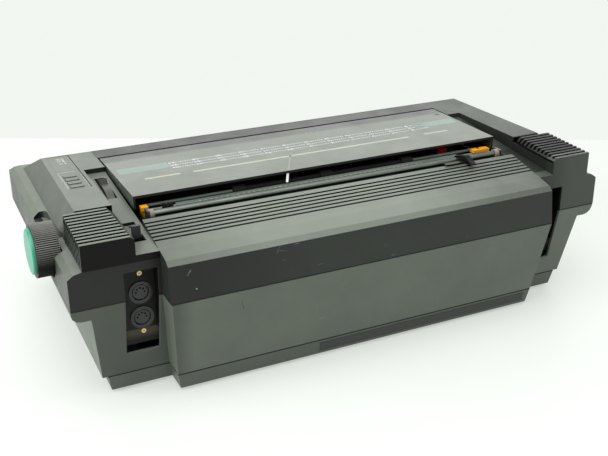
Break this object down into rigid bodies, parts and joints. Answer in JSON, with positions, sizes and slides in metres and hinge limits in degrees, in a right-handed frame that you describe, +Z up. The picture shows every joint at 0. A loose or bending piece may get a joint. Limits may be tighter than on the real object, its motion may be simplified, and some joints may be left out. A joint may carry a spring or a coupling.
{
  "type": "daisy wheel printer",
  "caption": "Low dark desktop daisy wheel printer with a hinged smoked lid, platen with side knob, paper bail, travelling print carriage, slotted vent blocks and rear connector bays.",
  "frame": {"origin": "on the ground plane under the middle of the whole length and depth", "axes": "+X towards the operator's right, where the platen knob is; +Y from the front to the rear, where the connectors are; +Z up"},
  "size_m": [0.527, 0.3, 0.1488],
  "materials": {
    "housing": "fine-grained dark charcoal",
    "shell": "fine-grained dark grey",
    "base": "fine-grained dark charcoal",
    "foot": "matt",
    "fascia": "smooth dark",
    "lid": "smoked translucent, printed column scale",
    "panel": "smooth dark with a thin printed line",
    "key": "satin grey",
    "lamp": "unlit red",
    "black_plastic": "satin black",
    "plate": "satin, bare",
    "tray": "satin black",
    "socket": "satin black",
    "screw": "passivated",
    "frame": "plain grey sheet steel",
    "bush": "beige bearing plastic",
    "steel": "ground",
    "platen": "ground black rubber",
    "knob": "ribbed black",
    "knob_cap": "turquoise",
    "gear": "off-white acetal",
    "brass": "machined",
    "motor": "grey can",
    "roller": "matt",
    "bail": "black with a printed scale of ticks",
    "bail_lever": "orange",
    "carriage": "dark grey",
    "wheel": "amber-grey",
    "coil": "copper brown",
    "red": "red",
    "belt": "toothed",
    "lever": "satin grey",
    "board": "green laminate",
    "transformer": "varnished laminations"
  },
  "bodies": {
    "housing": {"upper_housing": "housing", "lower_shell": "shell", "base_tray": "base", "feet": "foot", "front_fascia": "fascia", "control_panel": "panel", "indicator_lamps": "lamp", "rear_cap": "black_plastic", "rating_plate": "plate", "connector_tray_right": "tray", "connector_tray_left": "tray", "din_sockets": "socket", "mains_inlet": "socket", "switch_body": "black_plastic", "screws": "screw", "side_frame_left": "frame", "side_frame_right": "frame", "bushes": "bush", "frame_studs": "steel", "feed_motor": "motor", "paper_pan": "frame", "guide_rod": "steel", "carriage_rails": "steel", "carriage_belt": "belt", "carriage_motor": "motor", "main_board": "board", "transformer": "transformer"},
    "lid": {"lid": "lid"},
    "platen": {"platen": "platen", "platen_shaft": "steel", "platen_knob": "knob", "knob_cap": "knob_cap", "platen_gear": "gear"},
    "idler": {"idler_gear": "gear"},
    "pinion": {"feed_pinion": "brass"},
    "pinch_frame": {"pinch_frame": "frame"},
    "pinch_front": {"pinch_rollers_front": "roller"},
    "pinch_rear": {"pinch_rollers_rear": "roller"},
    "bail": {"bail_bar": "bail", "bail_lever_left": "bail_lever", "bail_lever_right": "bail_lever"},
    "bail_rollers": {"bail_rollers": "roller"},
    "paper_guide": {"paper_guide": "black_plastic"},
    "carriage": {"carriage": "carriage", "wheel_motor": "motor", "hammer_unit": "coil", "ribbon_cartridge": "black_plastic"},
    "wheel": {"daisy_wheel": "wheel"},
    "hammer": {"hammer_pin": "steel"},
    "ribbon_lever": {"ribbon_lever": "red"},
    "drive_pulley": {"drive_pulley": "gear"},
    "idle_pulley": {"idle_pulley": "gear"},
    "impression_lever": {"impression_lever": "lever"},
    "release_lever": {"release_lever": "lever"},
    "rocker": {"power_rocker": "black_plastic"},
    "key_1": {"key_1": "key"},
    "key_2": {"key_2": "key"},
    "key_3": {"key_3": "key"},
    "key_4": {"key_4": "key"}
  },
  "joints": [
    {"name": "lid_hinge", "type": "hinge", "parent": "housing", "child": "lid", "pos_m": [-0.0105, -0.0544, 0.145], "axis": [1, 0, 0], "range_deg": [0, 75]},
    {"name": "platen_spin", "type": "hinge", "parent": "housing", "child": "platen", "pos_m": [-0.0105, 0.056, 0.1163], "axis": [1, 0, 0], "continuous": true},
    {"name": "idler_spin", "type": "hinge", "parent": "housing", "child": "idler", "pos_m": [-0.192, 0.06564, 0.0898], "axis": [1, 0, 0], "continuous": true},
    {"name": "pinion_spin", "type": "hinge", "parent": "housing", "child": "pinion", "pos_m": [-0.192, 0.07255, 0.07082], "axis": [1, 0, 0], "continuous": true},
    {"name": "pinch_drop", "type": "slide", "parent": "housing", "child": "pinch_frame", "axis": [0, 0, -1], "range_m": [0, 0.002], "stiffness_N_per_m": 2000, "springref_m": -0.004},
    {"name": "pinch_front_spin", "type": "hinge", "parent": "pinch_frame", "child": "pinch_front", "pos_m": [-0.0105, 0.04283, 0.09944], "axis": [1, 0, 0], "continuous": true},
    {"name": "pinch_rear_spin", "type": "hinge", "parent": "pinch_frame", "child": "pinch_rear", "pos_m": [-0.0105, 0.06918, 0.09944], "axis": [1, 0, 0], "continuous": true},
    {"name": "bail_hinge", "type": "hinge", "parent": "housing", "child": "bail", "pos_m": [-0.0105, 0.032, 0.1083], "axis": [1, 0, 0], "range_deg": [0, 14]},
    {"name": "bail_roller_spin", "type": "hinge", "parent": "bail", "child": "bail_rollers", "pos_m": [-0.0105, 0.048, 0.13561], "axis": [1, 0, 0], "continuous": true},
    {"name": "paper_guide_slide", "type": "slide", "parent": "housing", "child": "paper_guide", "axis": [1, 0, 0], "range_m": [-0.015, 0.12]},
    {"name": "carriage_slide", "type": "slide", "parent": "housing", "child": "carriage", "axis": [1, 0, 0], "range_m": [0, 0.252]},
    {"name": "wheel_spin", "type": "hinge", "parent": "carriage", "child": "wheel", "pos_m": [-0.1365, 0.0341, 0.0813], "axis": [0, 1, 0], "continuous": true},
    {"name": "hammer_slide", "type": "slide", "parent": "carriage", "child": "hammer", "axis": [0, 1, 0], "range_m": [0, 0.0012], "stiffness_N_per_m": 100},
    {"name": "ribbon_lever_hinge", "type": "hinge", "parent": "carriage", "child": "ribbon_lever", "pos_m": [-0.1485, 0.02, 0.1245], "axis": [0, 0, 1], "range_deg": [-8, 20]},
    {"name": "drive_pulley_spin", "type": "hinge", "parent": "housing", "child": "drive_pulley", "pos_m": [0.1465, -0.002, 0.047], "axis": [0, 0, 1], "range_deg": [0, 1609.3]},
    {"name": "idle_pulley_spin", "type": "hinge", "parent": "housing", "child": "idle_pulley", "pos_m": [-0.1675, -0.002, 0.047], "axis": [0, 0, 1], "range_deg": [0, 1609.3]},
    {"name": "impression_hinge", "type": "hinge", "parent": "housing", "child": "impression_lever", "pos_m": [0.1835, 0.0037, 0.11031], "axis": [1, 0, 0], "range_deg": [-26, 0]},
    {"name": "release_hinge", "type": "hinge", "parent": "housing", "child": "release_lever", "pos_m": [0.185, 0.0904, 0.10217], "axis": [1, 0, 0], "range_deg": [0, 8]},
    {"name": "rocker_hinge", "type": "hinge", "parent": "housing", "child": "rocker", "pos_m": [-0.2105, 0.1084, 0.096], "axis": [1, 0, 0], "range_deg": [0, 12]},
    {"name": "key_1_press", "type": "slide", "parent": "housing", "child": "key_1", "axis": [0, 0, -1], "range_m": [0, 0.0006], "stiffness_N_per_m": 500},
    {"name": "key_2_press", "type": "slide", "parent": "housing", "child": "key_2", "axis": [0, 0, -1], "range_m": [0, 0.0006], "stiffness_N_per_m": 500},
    {"name": "key_3_press", "type": "slide", "parent": "housing", "child": "key_3", "axis": [0, 0, -1], "range_m": [0, 0.0006], "stiffness_N_per_m": 500},
    {"name": "key_4_press", "type": "slide", "parent": "housing", "child": "key_4", "axis": [0, 0, -1], "range_m": [0, 0.0006], "stiffness_N_per_m": 500}
  ],
  "couplings": [
    {"joint": "release_hinge", "follows": "pinch_drop", "rad_per_m": 69.8},
    {"joint": "idler_spin", "follows": "platen_spin", "ratio": -1},
    {"joint": "pinion_spin", "follows": "platen_spin", "ratio": 2.3333},
    {"joint": "pinch_front_spin", "follows": "platen_spin", "ratio": -3.2},
    {"joint": "pinch_rear_spin", "follows": "platen_spin", "ratio": -3.2},
    {"joint": "drive_pulley_spin", "follows": "carriage_slide", "rad_per_m": 111.11},
    {"joint": "idle_pulley_spin", "follows": "carriage_slide", "rad_per_m": 111.11}
  ]
}
